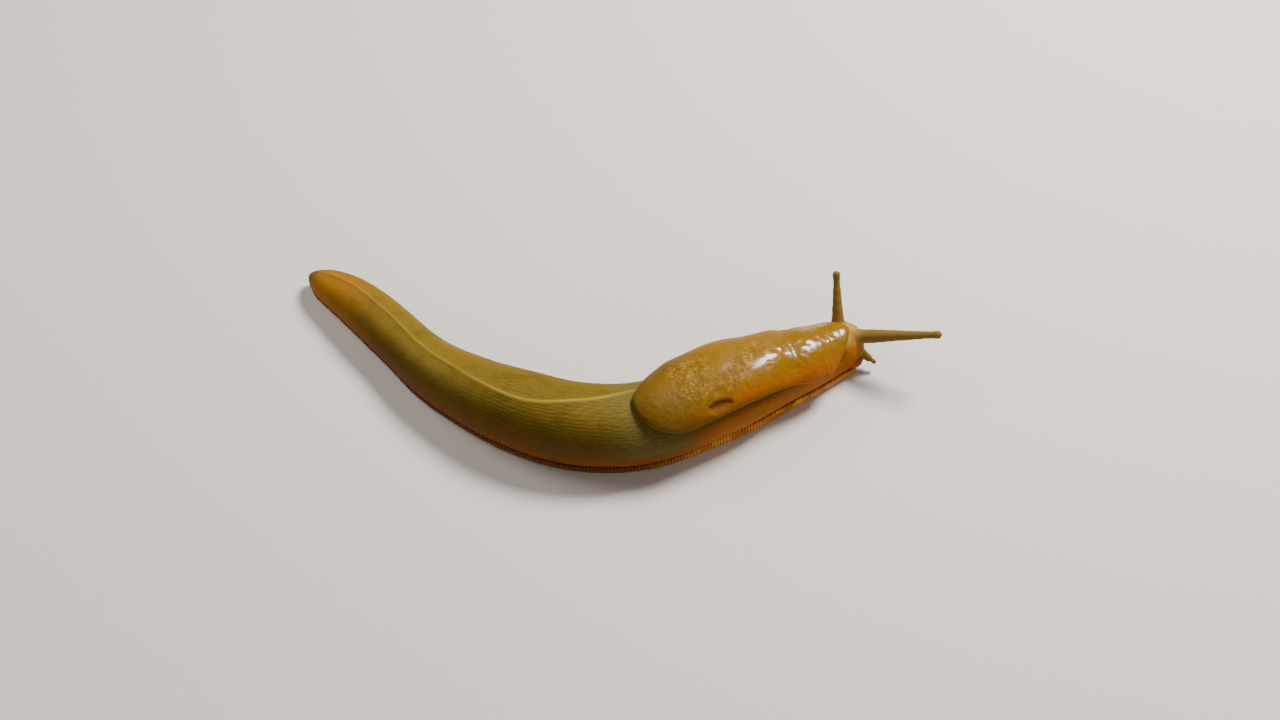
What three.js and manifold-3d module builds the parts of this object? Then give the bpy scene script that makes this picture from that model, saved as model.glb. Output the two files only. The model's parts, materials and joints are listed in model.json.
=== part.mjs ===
// A banana slug at life size, lying in a shallow bend with its head raised on its foot and both pairs of
// feelers out. Millimetres, +Z up. The origin is on the sole's centreline under the middle of the bend; the
// slug's right side faces -Y, and its head is towards +X.
import * as THREE from "three";
import { mergeVertices } from "three/addons/utils/BufferGeometryUtils.js";
import Module from "manifold-3d";

const wasm = await Module();
wasm.setup();

// Driving dimensions
const BODY_LENGTH = 144; // along the back, from tail tip to snout
const ORIGIN_STATION = 78; // distance from the tail tip of the point that lies over the origin
const GAP = 0.3; // between pieces that touch
const HALF_GAP = GAP / 2;

// The centreline's heading swings from the tail's line to the head's line through one bend
const MIDDLE_HEADING = THREE.MathUtils.degToRad(-6.4);
const HEADING_SWING = THREE.MathUtils.degToRad(38);
const BEND_STATION = 76.1;
const BEND_SPREAD = 24.9;

// Body half-width and height at stations from the tail tip; both ends are then rounded off
const HALF_WIDTH = [
  [0, 2.5], [10, 4.7], [20, 5.55], [34, 5.95], [50, 7.35], [64, 8.5], [80, 9.0],
  [96, 9.0], [110, 9.1], [122, 7.3], [134, 5.4], [144, 5.4],
];
const HEIGHT = [
  [0, 5.6], [10, 8.0], [20, 9.3], [34, 10.0], [50, 12.3], [64, 14.4], [80, 14.4],
  [96, 13.5], [110, 13.7], [122, 11.8], [134, 9.9], [144, 9.4],
];
const SWAY = [ // how far the body strays to the left of its line
  [0, -0.7], [12, 0.95], [26, 0.65], [40, -0.45], [52, 0.25], [64, 0.7], [78, 0.2],
  [92, -0.2], [106, 1.05], [120, 0.9], [132, -0.1], [144, 0.4],
];
const TAIL_ROUNDING = 6;
const SNOUT_ROUNDING = 6;
const MIDDLE_SHARE = 0.5; // height of the widest line, as a share of the body's height
const GROOVE_SHARE = 0.74; // half-width at the groove over the foot, as a share of the body's
const GROOVE_BASE = 0.2;
const GROOVE_RISE = 0.12; // groove's level: base plus this share of the height

// Keel along the back, and the long ridges of the skin
const KEEL_HEIGHT = 0.45;
const KEEL_HALF_ANGLE = 5;
const KEEL_ANGLE = [ // degrees left of the top line
  [0, 0], [18, 6], [34, 2], [45, -2], [55, -12], [65, -16], [73, -4], [81, 8], [88, 20],
];
const RIDGE_START = 14;
const RIDGE_STEP = 10;
const RIDGE_COUNT = 13;
const RIDGE_HEIGHT = 0.22;
const TUBERCLE_STATIONS = 5; // stations from one low point of a ridge to the next
const STATION_STEP = 2.2;
const UNDER_MANTLE_STEP = 4;
const HEAD_STEP = 0.9;

// Foot: a slab with a ribbed fringe
// Half-width of the fringe, as a share of the body's
const FRINGE_SHARES = [[0, 0.86], [60, 0.88], [100, 0.9], [120, 0.98], [136, 1.02]];
const SOLE_INSET = 0.7;
const FRINGE_EDGE_LEVEL = 0.45; // share of the slab's thickness where the fringe reaches out furthest
const RIB_PITCH = 2.4;
const RIB_HEIGHT = 0.28;
const FOOT_START = 0.8;
const FOOT_END = 141.2;
const FOOT_TAIL_ROUNDING = 4.5;
const FOOT_FRONT_ROUNDING = 3.6;

// Mantle: a thick saddle of skin over the shoulders, free along its edge
const MANTLE_REAR = 87.5;
const MANTLE_REAR_CORNERS = { right: 99.5, left: 106 };
const MANTLE_REAR_POWERS = { right: 2, left: 1.3 };
const MANTLE_FRONT_CORNER = 130.5;
const MANTLE_FRONT = 140.3;
const MANTLE_FRONT_POWER = 1.25;
// How far down its side edges hang, in degrees from the top line
const MANTLE_REACH = [[99, 58], [112, 56], [121, 61], [127, 76], [131, 84], [140, 84]];
const MANTLE_LEFT_SHARE = 1.25; // it hangs further down on the left than on the right
const MANTLE_THICKNESS = 2.3;
const MANTLE_HOOD_THICKNESS = 1.2; // at its front, over the head
const MANTLE_HOOD_START = 125.5;
const MANTLE_LIP = 0.85;
const MANTLE_LIP_RUN = 2.4;
const MANTLE_FOLDS = [ // shallow folds across it
  { station: 126.5, depth: 0.75, spread: 2.4 },
  { station: 112, depth: 0.3, spread: 3 },
];
const MANTLE_ROWS = 30;
const MANTLE_COLUMNS = 24;

// Breathing pore in the mantle's right side
const PORE = { station: 104.5, angle: 41, length: 5.6, width: 2.8, depth: 1.2, tilt: -4, roll: 24 };

// Cuts between the lengths of the body and of the foot
const TRUNK_CUTS = [
  ["tail", 0, 26],
  ["trunk_rear", 26, 54],
  ["trunk_middle", 54, 86],
  ["trunk_front", 86, 111],
  ["neck", 111, 136],
  ["head", 136, BODY_LENGTH],
];
const FOOT_CUTS = [
  ["foot_tail", FOOT_START, 30],
  ["foot_rear", 30, 62],
  ["foot_middle", 62, 98],
  ["foot_front", 98, FOOT_END],
];

// Feelers: radii of the root, the stalk part of the way out, its thin end and the knob; depth of the root
const OPTIC_RIGHT = { root: 2.05, waist: 1.3, neck: 0.78, knob: 0.88, sunk: 1.6 };
const OPTIC_LEFT = { root: 2.1, waist: 1.1, neck: 0.72, knob: 0.84, sunk: 1.6 };
const ORAL = { root: 1.45, waist: 0.95, neck: 0.5, knob: 0.5, sunk: 1.2 };
const FEELERS = [ // root as station, side and level
  { name: "optic_tentacle_right", shape: OPTIC_RIGHT, root: [140.6, -1.4, 7.7], to: [17.8, -4.2, 6.3] },
  { name: "optic_tentacle_left", shape: OPTIC_LEFT, root: [139.4, 2.6, 6.9], to: [-0.7, 8.4, 9.5] },
  { name: "oral_tentacle_right", shape: ORAL, root: [141.4, -3.6, 3.9], to: [3.4, -1.6, -1.7] },
  { name: "oral_tentacle_left", shape: ORAL, root: [141.4, 3.6, 3.9], to: [0.6, 3.6, -1.7] },
];
const EYE_RADIUS = 0.5;
const FEELER_SIDES = 14;

// Lips round the mouth, under the hood
const LIPS = [
  { name: "lip_right", side: -4.4, level: 3.1, station: 139.4, size: [1.9, 1.5, 1.5] },
  { name: "lip_left", side: 4.4, level: 3.1, station: 139.4, size: [1.9, 1.5, 1.5] },
  { name: "lip_upper", side: 0, level: 4.1, station: 143.2, size: [1.5, 2.2, 0.9] },
];

// Colours and finishes
const skin = (color, roughness = 0.35) => new THREE.MeshStandardMaterial({ color, roughness, metalness: 0 });
const OLIVE = skin(0x8a7a22);
const OCHRE = skin(0xa9821c);
const AMBER = skin(0xb9791a);
const UMBER = skin(0x7c5a18, 0.5);
const ORANGE = skin(0xb0641a);
const HORN = skin(0xa0813a);
const BLACK = skin(0x1c140c, 0.2);

// Smooth value from a table of [station, value] pairs: cubic pieces with averaged slopes
function fromTable(table, station) {
  const last = table.length - 1;
  const x = THREE.MathUtils.clamp(station, table[0][0], table[last][0]);
  let i = 0;
  while (i < last - 1 && x > table[i + 1][0]) i += 1;
  const slope = (k) => {
    const a = table[Math.max(k - 1, 0)];
    const b = table[Math.min(k + 1, last)];
    return (b[1] - a[1]) / (b[0] - a[0]);
  };
  const run = table[i + 1][0] - table[i][0];
  const t = (x - table[i][0]) / run;
  const t2 = t * t;
  const t3 = t2 * t;
  return (
    (2 * t3 - 3 * t2 + 1) * table[i][1] +
    (t3 - 2 * t2 + t) * run * slope(i) +
    (3 * t2 - 2 * t3) * table[i + 1][1] +
    (t3 - t2) * run * slope(i + 1)
  );
}

// Share of full size at a distance from a rounded end
function rounded(distance, rounding) {
  const t = THREE.MathUtils.clamp(distance / rounding, 0, 1);
  return Math.sqrt(1 - (1 - t) ** 2);
}

const heading = (station) =>
  MIDDLE_HEADING + HEADING_SWING * Math.tanh((station - BEND_STATION) / BEND_SPREAD);

// Centreline points, summed in short steps from the origin outwards
const LINE_STEP = 0.5;
const centreline = [];
for (let station = 0; station <= BODY_LENGTH; station += LINE_STEP) {
  const previous = centreline.at(-1) ?? { x: 0, y: 0 };
  const angle = heading(station - LINE_STEP / 2);
  const run = station > 0 ? LINE_STEP : 0;
  centreline.push({ x: previous.x + run * Math.cos(angle), y: previous.y + run * Math.sin(angle) });
}
const home = centreline[ORIGIN_STATION / LINE_STEP];

function centreAt(station) {
  const i = THREE.MathUtils.clamp(Math.round(station / LINE_STEP), 0, centreline.length - 1);
  const rest = station - i * LINE_STEP;
  const angle = heading(station);
  return {
    x: centreline[i].x - home.x + rest * Math.cos(angle),
    y: centreline[i].y - home.y + rest * Math.sin(angle),
    angle,
  };
}

// A point given by its station, its distance to the left of the middle and its level
function place(station, side, level) {
  const c = centreAt(station);
  const left = side + fromTable(SWAY, station);
  return new THREE.Vector3(c.x - Math.sin(c.angle) * left, c.y + Math.cos(c.angle) * left, level);
}

const endShare = (station) =>
  rounded(station, TAIL_ROUNDING) * rounded(BODY_LENGTH - station, SNOUT_ROUNDING);
const grooveLevel = (station) => GROOVE_BASE + GROOVE_RISE * fromTable(HEIGHT, station);

// Body wall in the section at a station: angle in degrees from the top line, positive towards the left.
// The upper half is an ellipse; the lower half curls in to the groove over the foot.
function wall(station, angle, grow = 0) {
  const share = endShare(station);
  const width = fromTable(HALF_WIDTH, station);
  const height = fromTable(HEIGHT, station);
  const middle = MIDDLE_SHARE * height;
  const groove = grooveLevel(station) + HALF_GAP;
  const a = THREE.MathUtils.degToRad(Math.min(Math.abs(angle), 90));
  const b = THREE.MathUtils.degToRad(Math.max(Math.abs(angle) - 90, 0));
  const reach = width * (Math.sin(a) - (1 - GROOVE_SHARE) * (1 - Math.cos(b)));
  const rise = (height - middle) * Math.cos(a) - (middle - groove) * Math.sin(b);
  const side = reach * share + grow * Math.sin(a) * Math.cos(b / 2);
  const level = middle + rise * share + grow * (Math.cos(a) - Math.sin(b));
  return { side: Math.sign(angle) * side, level };
}

// One closed body from rings of equal length, with a point or a fan at each end
function ringBody(rings, startPoint, endPoint) {
  const count = rings[0].length;
  const points = rings.flat();
  const middleOf = (ring) =>
    ring.reduce((sum, p) => sum.add(p), new THREE.Vector3()).divideScalar(count);
  const start = points.push(startPoint ?? middleOf(rings[0])) - 1;
  const end = points.push(endPoint ?? middleOf(rings.at(-1))) - 1;
  const faces = [];
  for (let i = 0; i < count; i += 1) {
    const j = (i + 1) % count;
    faces.push([start, j, i]);
    for (let r = 0; r < rings.length - 1; r += 1) {
      const a = r * count;
      const b = a + count;
      faces.push([a + i, a + j, b + i], [a + j, b + j, b + i]);
    }
    const last = (rings.length - 1) * count;
    faces.push([end, last + i, last + j]);
  }
  return facesToGeometry(points, faces);
}

// Geometry of a closed surface, turned inside out if its faces point inwards
function facesToGeometry(points, faces) {
  const volume = faces.reduce(
    (sum, [a, b, c]) => sum + points[a].dot(new THREE.Vector3().crossVectors(points[b], points[c])),
    0,
  );
  const index = faces.flatMap(([a, b, c]) => (volume > 0 ? [a, b, c] : [a, c, b]));
  const geometry = new THREE.BufferGeometry().setFromPoints(points);
  geometry.setIndex(index);
  return geometry;
}

function solidOf(geometry) {
  const bare = geometry.clone();
  for (const name of Object.keys(bare.attributes)) {
    if (name !== "position") bare.deleteAttribute(name);
  }
  const merged = mergeVertices(bare, 1e-4);
  return new wasm.Manifold(
    new wasm.Mesh({
      numProp: 3,
      vertProperties: new Float32Array(merged.attributes.position.array),
      triVerts: new Uint32Array(merged.index.array),
    }),
  );
}

// Largest closed surface of a solid, as a geometry
function geometryOf(solid) {
  const largest = solid.decompose().sort((a, b) => b.volume() - a.volume())[0];
  const mesh = largest.getMesh();
  const geometry = new THREE.BufferGeometry();
  geometry.setAttribute("position", new THREE.BufferAttribute(mesh.vertProperties, 3));
  geometry.setIndex(new THREE.BufferAttribute(mesh.triVerts, 1));
  return geometry;
}

// Stations from one cut to the next, about a step apart
function stations(from, to, step) {
  const count = Math.max(2, Math.round((to - from) / step));
  return Array.from({ length: count + 1 }, (_, i) => from + ((to - from) * i) / count);
}

// Angles round the wall, down the left side from the keel to the groove
const SIDE_ANGLES = [KEEL_HALF_ANGLE];
for (let i = 0; i < RIDGE_COUNT; i += 1) SIDE_ANGLES.push(RIDGE_START + i * RIDGE_STEP);
SIDE_ANGLES.push(154, 180);

// How far the skin stands out: keel on the top line, broken ridges down the sides
function relief(column, row, share) {
  if (column === 0) return KEEL_HEIGHT * share;
  const ridge = column - 2;
  if (ridge < 0 || ridge >= RIDGE_COUNT) return 0;
  const dip = (row + 2 * ridge) % TUBERCLE_STATIONS === 0 ? 0.3 : 1;
  return (ridge % 2 === 0 ? RIDGE_HEIGHT : -RIDGE_HEIGHT) * dip * share;
}

function wallRing(station, row, textured, grow = 0) {
  const share = textured ? endShare(station) : 0;
  const keel = fromTable(KEEL_ANGLE, station);
  const point = (angle, column, hand) => {
    const turned = hand * angle + (keel * Math.max(0, 90 - angle)) / 90;
    const at = wall(station, turned, grow + relief(column, row, share));
    return place(station, at.side, at.level);
  };
  const ring = [point(0, 0, 1)];
  SIDE_ANGLES.forEach((angle, i) => ring.push(point(angle, i + 1, 1)));
  [...SIDE_ANGLES.keys()].reverse().forEach((i) => ring.push(point(SIDE_ANGLES[i], i + 1, -1)));
  return ring;
}

function trunkLength(name, from, to, grow = 0) {
  const isTail = from === 0;
  const isHead = to === BODY_LENGTH;
  const covered = from >= MANTLE_REAR - 2 && !isHead;
  let step = covered ? UNDER_MANTLE_STEP : STATION_STEP;
  if (isHead) step = HEAD_STEP;
  const first = isTail ? HALF_GAP * 2 : from + HALF_GAP - grow;
  const last = isHead ? to - HALF_GAP * 2 : to - HALF_GAP + grow;
  const list = stations(first, last, step);
  if (isTail) list.splice(1, 0, first + 0.7);
  const rings = list.map((station, row) => wallRing(station, row, !covered && !isHead, grow));
  const tip = (station, beyond) => place(station + beyond, 0, MIDDLE_SHARE * fromTable(HEIGHT, station));
  return ringBody(
    rings,
    isTail ? tip(0, -grow) : undefined,
    isHead ? tip(BODY_LENGTH, grow) : undefined,
  );
}

// Foot section: flat sole, fringe edge, and the slab's top up to the groove
function footRing(station, rib) {
  const share =
    rounded(station - FOOT_START + 0.4, FOOT_TAIL_ROUNDING) *
    rounded(FOOT_END + 0.4 - station, FOOT_FRONT_ROUNDING);
  const width = fromTable(HALF_WIDTH, station);
  const top = grooveLevel(station) - HALF_GAP;
  const edge = width * fromTable(FRINGE_SHARES, station) * share + rib * RIB_HEIGHT;
  const groove = Math.min(width * GROOVE_SHARE * share, edge - 0.5);
  const half = [
    [edge - SOLE_INSET, 0],
    [edge - 0.15, 0.22 * top],
    [edge, FRINGE_EDGE_LEVEL * top],
    [edge - 0.25, 0.75 * top],
    [groove, top],
  ];
  const left = half.map(([side, level]) => place(station, side, level));
  const right = half.map(([side, level]) => place(station, -side, level)).reverse();
  return [...left, ...right];
}

function footLength(from, to) {
  const first = from === FOOT_START ? from : from + HALF_GAP;
  const last = to === FOOT_END ? to : to - HALF_GAP;
  const list = stations(first, last, RIB_PITCH / 2);
  return ringBody(list.map((station, i) => footRing(station, i % 2 === 0 ? 0.5 : -0.5)));
}

// Mantle, laid out on a grid: u from rear to front, v from the right edge to the left edge
const sideAngle = (station, v) => fromTable(MANTLE_REACH, station) * (v > 0 ? MANTLE_LEFT_SHARE : 1);
const rearEdge = (v) => {
  const hand = v > 0 ? "left" : "right";
  const run = MANTLE_REAR_CORNERS[hand] - MANTLE_REAR;
  return MANTLE_REAR + run * (1 - Math.sqrt(1 - Math.abs(v) ** MANTLE_REAR_POWERS[hand]));
};
const frontEdge = (v) =>
  MANTLE_FRONT_CORNER + (MANTLE_FRONT - MANTLE_FRONT_CORNER) * (1 - Math.abs(v) ** MANTLE_FRONT_POWER);

function mantleAt(u, v) {
  const station = THREE.MathUtils.lerp(rearEdge(v), frontEdge(v), u);
  const angle = v * sideAngle(station, v);
  const width = fromTable(HALF_WIDTH, station);
  const fromSide = THREE.MathUtils.degToRad((1 - Math.abs(v)) * sideAngle(station, v)) * width;
  const inward = Math.min(station - rearEdge(v), frontEdge(v) - station, fromSide);
  const ahead = THREE.MathUtils.smoothstep(station, MANTLE_HOOD_START, MANTLE_FRONT);
  const full = THREE.MathUtils.lerp(MANTLE_THICKNESS, MANTLE_HOOD_THICKNESS, ahead);
  let thickness = MANTLE_LIP + (full - MANTLE_LIP) * (1 - Math.exp(-inward / MANTLE_LIP_RUN));
  for (const fold of MANTLE_FOLDS) {
    const off = (station - fold.station) / fold.spread;
    thickness -= fold.depth * Math.exp(-off * off) * THREE.MathUtils.smoothstep(inward, 0.5, 4);
  }
  return { station, angle, thickness };
}

const mantlePoint = (at, grow) => {
  const on = wall(at.station, at.angle, grow);
  return place(at.station, on.side, on.level);
};

function mantleBody(grow = 0) {
  const points = [];
  const faces = [];
  const rows = MANTLE_ROWS;
  const columns = MANTLE_COLUMNS;
  // columns closer together near the edges, where the lip curves
  const spread = (t) => Math.sin((Math.PI / 2) * (2 * t - 1));
  for (const outer of [true, false]) {
    for (let i = 0; i <= rows; i += 1) {
      for (let j = 0; j <= columns; j += 1) {
        const at = mantleAt((1 + spread(i / rows)) / 2, spread(j / columns));
        points.push(mantlePoint(at, outer ? GAP + at.thickness + grow : GAP - grow));
      }
    }
  }
  const layer = (rows + 1) * (columns + 1);
  const id = (i, j) => i * (columns + 1) + j;
  for (let i = 0; i < rows; i += 1) {
    for (let j = 0; j < columns; j += 1) {
      const [a, b, c, d] = [id(i, j), id(i, j + 1), id(i + 1, j), id(i + 1, j + 1)];
      faces.push([a, c, b], [b, c, d]);
      faces.push([a + layer, b + layer, c + layer], [b + layer, d + layer, c + layer]);
    }
  }
  const border = [];
  for (let j = 0; j < columns; j += 1) border.push(id(0, j));
  for (let i = 0; i < rows; i += 1) border.push(id(i, columns));
  for (let j = columns; j > 0; j -= 1) border.push(id(rows, j));
  for (let i = rows; i > 0; i -= 1) border.push(id(i, 0));
  border.forEach((a, k) => {
    const b = border[(k + 1) % border.length];
    faces.push([a, b, a + layer], [b, b + layer, a + layer]);
  });
  return facesToGeometry(points, faces);
}

// Hollow of the breathing pore, set into the mantle's outer face
function poreHollow() {
  const at = { station: PORE.station, angle: -PORE.angle };
  const centre = mantlePoint(at, GAP + MANTLE_THICKNESS);
  const above = mantlePoint(at, GAP + MANTLE_THICKNESS + 1);
  const out = above.sub(centre).normalize();
  const along = place(at.station + 1, 0, 0).sub(place(at.station, 0, 0)).normalize();
  const across = new THREE.Vector3().crossVectors(out, along).normalize();
  const basis = new THREE.Matrix4().makeBasis(along, across, out).setPosition(centre);
  return new THREE.SphereGeometry(1, 18, 12)
    .scale(PORE.length / 2, PORE.width / 2, PORE.depth)
    .rotateX(THREE.MathUtils.degToRad(PORE.roll))
    .rotateZ(THREE.MathUtils.degToRad(PORE.tilt))
    .applyMatrix4(basis);
}

// A feeler turned about its own axis, with its root sunk below the point it grows from
function feeler({ shape, root, to }) {
  const reach = new THREE.Vector3(...to);
  const length = reach.length();
  const profile = [
    [0, -shape.sunk],
    [shape.root * 1.05, -shape.sunk],
    [shape.root, 0],
    [THREE.MathUtils.lerp(shape.root, shape.waist, 0.55), length * 0.13],
    [shape.waist, length * 0.4],
    [THREE.MathUtils.lerp(shape.waist, shape.neck, 0.6), length * 0.66],
    [shape.neck, length - shape.knob * 2.6],
    [shape.knob * 0.96, length - shape.knob * 1.4],
    [shape.knob, length - shape.knob * 0.8],
    [shape.knob * 0.72, length - shape.knob * 0.22],
    [0, length],
  ].map(([radius, along]) => new THREE.Vector2(radius, along));
  const turn = new THREE.Quaternion().setFromUnitVectors(
    new THREE.Vector3(0, 1, 0),
    reach.clone().normalize(),
  );
  return new THREE.LatheGeometry(profile, FEELER_SIDES)
    .applyQuaternion(turn)
    .translate(...place(...root));
}

const feelerTip = ({ root, to }, back) => {
  const reach = new THREE.Vector3(...to);
  return place(...root).add(reach.setLength(reach.length() - back));
};

const ball = (radius, centre) => new THREE.SphereGeometry(radius, 12, 8).translate(...centre);

const slug = new THREE.Group();
function add(name, geometry, material) {
  const mesh = new THREE.Mesh(geometry, material);
  mesh.name = name;
  slug.add(mesh);
}

// Trunk and head
const TRUNK_SKINS = { tail: OCHRE, head: AMBER, neck: UMBER };
for (const [name, from, to] of TRUNK_CUTS) {
  add(name, trunkLength(name, from, to), TRUNK_SKINS[name] ?? OLIVE);
}

// Foot
for (const [name, from, to] of FOOT_CUTS) add(name, footLength(from, to), UMBER);

// Mantle with its breathing pore
const mantle = solidOf(mantleBody()).subtract(solidOf(poreHollow()));
add("mantle", geometryOf(mantle), AMBER);

// Head's surroundings, a gap wider than the real ones, which cut whatever grows from them
const roundHead = solidOf(trunkLength("head", 136, BODY_LENGTH, GAP));
const roundNeck = solidOf(trunkLength("neck", 111, 136, GAP));
const roundMantle = solidOf(mantleBody(GAP));
const surroundings = roundHead.add(roundNeck).add(roundMantle);

for (const one of FEELERS) {
  const isOptic = one.shape !== ORAL;
  let solid = solidOf(feeler(one)).subtract(surroundings);
  if (isOptic) {
    const eye = feelerTip(one, EYE_RADIUS * 0.75);
    solid = solid.subtract(solidOf(ball(EYE_RADIUS + GAP, eye)));
    add(one.name.replace("optic_tentacle", "eye"), ball(EYE_RADIUS, eye), BLACK);
  }
  add(one.name, geometryOf(solid), HORN);
}

// Lips, each cut clear of the head, of the feelers and of the lips before it
const clear = FEELERS.map((f) =>
  solidOf(feeler({ ...f, shape: { ...f.shape, root: f.shape.root + GAP, waist: f.shape.waist + GAP } })),
);
for (const { name, side, level, station, size } of LIPS) {
  const angle = centreAt(station).angle;
  const lip = (extra) =>
    solidOf(
      new THREE.SphereGeometry(1, 16, 10)
        .scale(...size.map((radius) => radius + extra))
        .rotateZ(angle)
        .translate(...place(station, side, level)),
    );
  const solid = clear.reduce((rest, other) => rest.subtract(other), lip(0).subtract(surroundings));
  clear.push(lip(GAP));
  add(name, geometryOf(solid), ORANGE);
}

export default slug;
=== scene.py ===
# %% [markdown]
# # A banana slug, life size, on a pale floor
# The slug lies in one shallow bend with its head up on its foot and its feelers out. The solids give its
# size and place, in lengths cut apart for the model. A live slug has no such cuts, so this file grows one
# fine skin over all of them: the back, the foot, the mantle, the head and the feelers. Lengths are in
# millimetres up to the last moment, when a mesh is made, because that is how one measures a slug.

# %% The frame
import json
import math

import bpy
import numpy as np
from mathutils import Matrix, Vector
from mathutils.kdtree import KDTree

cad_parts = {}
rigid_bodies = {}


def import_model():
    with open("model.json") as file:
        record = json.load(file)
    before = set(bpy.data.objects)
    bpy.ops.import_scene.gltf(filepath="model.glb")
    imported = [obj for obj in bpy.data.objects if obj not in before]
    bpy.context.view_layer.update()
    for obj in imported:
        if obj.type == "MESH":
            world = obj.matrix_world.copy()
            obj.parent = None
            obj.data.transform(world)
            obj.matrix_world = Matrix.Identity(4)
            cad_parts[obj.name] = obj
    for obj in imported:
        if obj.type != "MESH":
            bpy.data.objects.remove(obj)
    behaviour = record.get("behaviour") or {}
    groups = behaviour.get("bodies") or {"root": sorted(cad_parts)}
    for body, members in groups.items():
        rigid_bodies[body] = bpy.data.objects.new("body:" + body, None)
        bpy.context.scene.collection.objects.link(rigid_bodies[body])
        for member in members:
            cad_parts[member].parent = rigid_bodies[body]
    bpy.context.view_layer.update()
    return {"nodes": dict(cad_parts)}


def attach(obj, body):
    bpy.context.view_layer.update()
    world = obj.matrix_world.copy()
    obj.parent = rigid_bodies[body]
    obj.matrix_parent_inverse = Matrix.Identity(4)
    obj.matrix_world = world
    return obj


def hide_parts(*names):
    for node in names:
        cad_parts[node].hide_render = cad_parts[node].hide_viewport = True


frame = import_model()
MM = 0.001
print("solids:", len(frame["nodes"]))

# %% [markdown]
# ## Camera
# The slug was seen from above its right side, at 54 degrees over the floor. The lens is a plain 50 mm,
# and the distance is the one at which a slug of this length fills the same part of the frame.


# %% Camera
def in_scene(name, data):
    """A new object in the scene, at the origin."""
    thing = bpy.data.objects.new(name, data)
    bpy.context.scene.collection.objects.link(thing)
    return thing


PICTURE_WIDTH = 1280
LENS = 50.0
SENSOR = 36.0
MM_PER_PIXEL = 0.22
CAMERA_ELEVATION = math.radians(54)
CAMERA_TARGET = (11.42, 21.79, 0.0)

camera_distance = MM_PER_PIXEL * PICTURE_WIDTH * LENS / SENSOR
lens = bpy.data.cameras.new("camera")
lens.lens = LENS
lens.sensor_width = SENSOR
lens.clip_start = 0.01
camera = in_scene("camera", lens)
camera.rotation_euler = (math.pi / 2 - CAMERA_ELEVATION, 0, 0)
away = Vector((0, -math.cos(CAMERA_ELEVATION), math.sin(CAMERA_ELEVATION)))
camera.location = (Vector(CAMERA_TARGET) + away * camera_distance) * MM
bpy.context.scene.camera = camera
print("camera at", tuple(round(v, 3) for v in camera.location))

# %% [markdown]
# ## Line of the body
# Every piece of a slug follows one line along the floor, so the line comes first. Its heading swings from
# the tail's direction to the head's with a hyperbolic tangent, which is a bend with straight runs at both
# ends. Widths and heights are read off at a few stations, counted from the tail tip, with a smooth curve
# between.

# %% Measures of the body
BODY_LENGTH = 144.0
ORIGIN_STATION = 78.0
MIDDLE_HEADING = math.radians(-6.4)
HEADING_SWING = math.radians(38)
BEND_STATION = 76.1
BEND_SPREAD = 24.9
HALF_WIDTH = [
    (0, 2.5), (10, 4.7), (20, 5.55), (34, 5.95), (50, 7.35), (64, 8.5), (80, 9.0),
    (96, 9.0), (110, 9.1), (122, 7.3), (134, 5.4), (144, 5.4),
]
HEIGHT = [
    (0, 5.6), (10, 8.0), (20, 9.3), (34, 10.0), (50, 12.3), (64, 14.4), (80, 14.4),
    (96, 13.5), (110, 13.7), (122, 11.8), (134, 9.9), (144, 9.4),
]
SWAY = [
    (0, -0.7), (12, 0.95), (26, 0.65), (40, -0.45), (52, 0.25), (64, 0.7), (78, 0.2),
    (92, -0.2), (106, 1.05), (120, 0.9), (132, -0.1), (144, 0.4),
]
TAIL_ROUNDING = 6.0
SNOUT_ROUNDING = 6.0
MIDDLE_SHARE = 0.5
GROOVE_SHARE = 0.74
GROOVE_BASE = 0.2
GROOVE_RISE = 0.12


def from_table(table, stations):
    """Smooth values between the rows of a table."""
    x, y = np.array(table, float).T
    k = np.arange(len(x))
    before = np.maximum(k - 1, 0)
    after = np.minimum(k + 1, len(x) - 1)
    slope = (y[after] - y[before]) / (x[after] - x[before])
    at = np.clip(stations, x[0], x[-1])
    i = np.clip(np.searchsorted(x, at, side="right") - 1, 0, len(x) - 2)
    run = x[i + 1] - x[i]
    t = (at - x[i]) / run
    start = (2 * t**3 - 3 * t**2 + 1) * y[i] + (t**3 - 2 * t**2 + t) * run * slope[i]
    return start + (3 * t**2 - 2 * t**3) * y[i + 1] + (t**3 - t**2) * run * slope[i + 1]


def rounded(distance, rounding):
    """Share of full size at a distance from a round end."""
    return np.sqrt(1 - (1 - np.clip(distance / rounding, 0, 1)) ** 2)


def smoothstep(value, low, high):
    t = np.clip((value - low) / (high - low), 0, 1)
    return t * t * (3 - 2 * t)


# %% The line itself
def heading(station):
    return MIDDLE_HEADING + HEADING_SWING * np.tanh((station - BEND_STATION) / BEND_SPREAD)


LINE_STEP = 0.25
LINE_STATIONS = np.arange(0, BODY_LENGTH + LINE_STEP, LINE_STEP)
turns = heading(LINE_STATIONS[1:] - LINE_STEP / 2)
line_x = np.concatenate([[0], np.cumsum(LINE_STEP * np.cos(turns))])
line_y = np.concatenate([[0], np.cumsum(LINE_STEP * np.sin(turns))])
home = int(ORIGIN_STATION / LINE_STEP)
line_x -= line_x[home]
line_y -= line_y[home]


def place(station, side, level):
    """Points from their station, their distance to the slug's left and their level."""
    inside = np.clip(station, 0, BODY_LENGTH)
    angle = heading(inside)
    beyond = station - inside
    side = side + from_table(SWAY, inside)
    x = np.interp(inside, LINE_STATIONS, line_x) + beyond * np.cos(angle) - np.sin(angle) * side
    y = np.interp(inside, LINE_STATIONS, line_y) + beyond * np.sin(angle) + np.cos(angle) * side
    return np.stack([x, y, level + 0 * x], -1)


print("tail tip at", place(0.0, 0.0, 0.0).round(1), "mm")
print("snout at", place(BODY_LENGTH, 0.0, 0.0).round(1), "mm")

# %% [markdown]
# ## Section of the body
# Cut across, a slug is a tall arch over a flat foot. The flank curls in at the bottom to a groove, and
# below the groove the edge of the foot stands out again as a fringe. One function gives the arch at any
# station, so that the mantle can be set on the same surface.


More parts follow.
